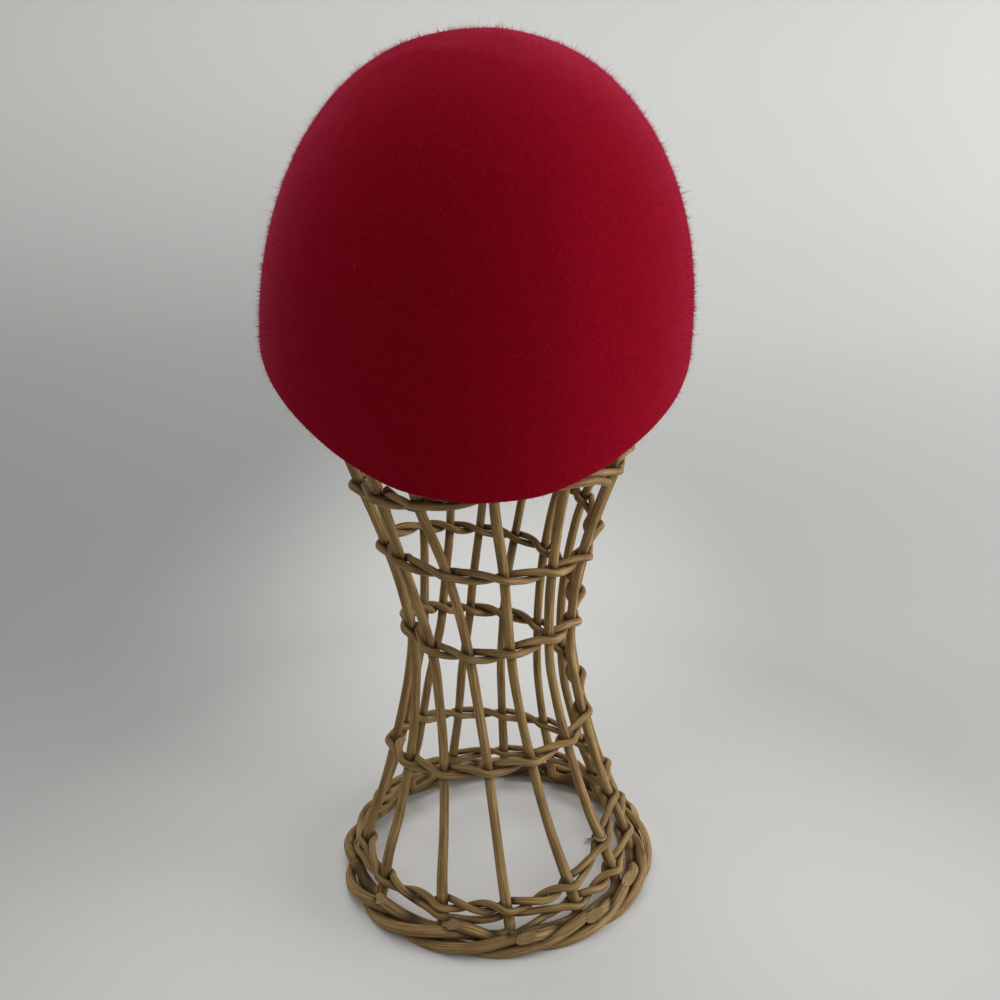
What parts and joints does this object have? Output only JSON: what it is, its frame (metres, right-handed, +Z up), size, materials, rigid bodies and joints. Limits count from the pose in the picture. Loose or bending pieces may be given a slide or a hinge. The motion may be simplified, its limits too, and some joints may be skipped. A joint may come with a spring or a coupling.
{
  "type": "felt cap on wicker hat stand",
  "caption": "Deep dome-shaped felt cap with a low nape edge and a softly sunk tip, resting on an open hourglass hat stand of twined wicker canes with a rolled foot border.",
  "frame": {"origin": "middle of the whole, on the floor that the stand's foot border rests on", "axes": "+Z up, -Y towards the low nape edge of the cap, +X to the right as seen from there"},
  "size_m": [0.1804, 0.1946, 0.3771],
  "materials": {
    "felt": "short brushed nap, matt with a soft sheen",
    "rattan": "bare cane with a dull gloss"
  },
  "bodies": {
    "root": {"felt_cap": "felt", "stake_01": "rattan", "stake_02": "rattan", "stake_03": "rattan", "stake_04": "rattan", "stake_05": "rattan", "stake_06": "rattan", "stake_07": "rattan", "stake_08": "rattan", "stake_09": "rattan", "stake_10": "rattan", "stake_11": "rattan", "stake_12": "rattan", "stake_13": "rattan", "stake_14": "rattan", "weaver_a_1": "rattan", "weaver_b_1": "rattan", "weaver_a_2": "rattan", "weaver_b_2": "rattan", "weaver_a_3": "rattan", "weaver_b_3": "rattan", "weaver_a_4": "rattan", "weaver_b_4": "rattan", "weaver_a_5": "rattan", "weaver_b_5": "rattan", "weaver_a_6": "rattan", "weaver_b_6": "rattan", "foot_cane_1": "rattan", "foot_cane_2": "rattan", "foot_cane_3": "rattan", "crown_knot": "rattan"}
  },
  "joints": []
}
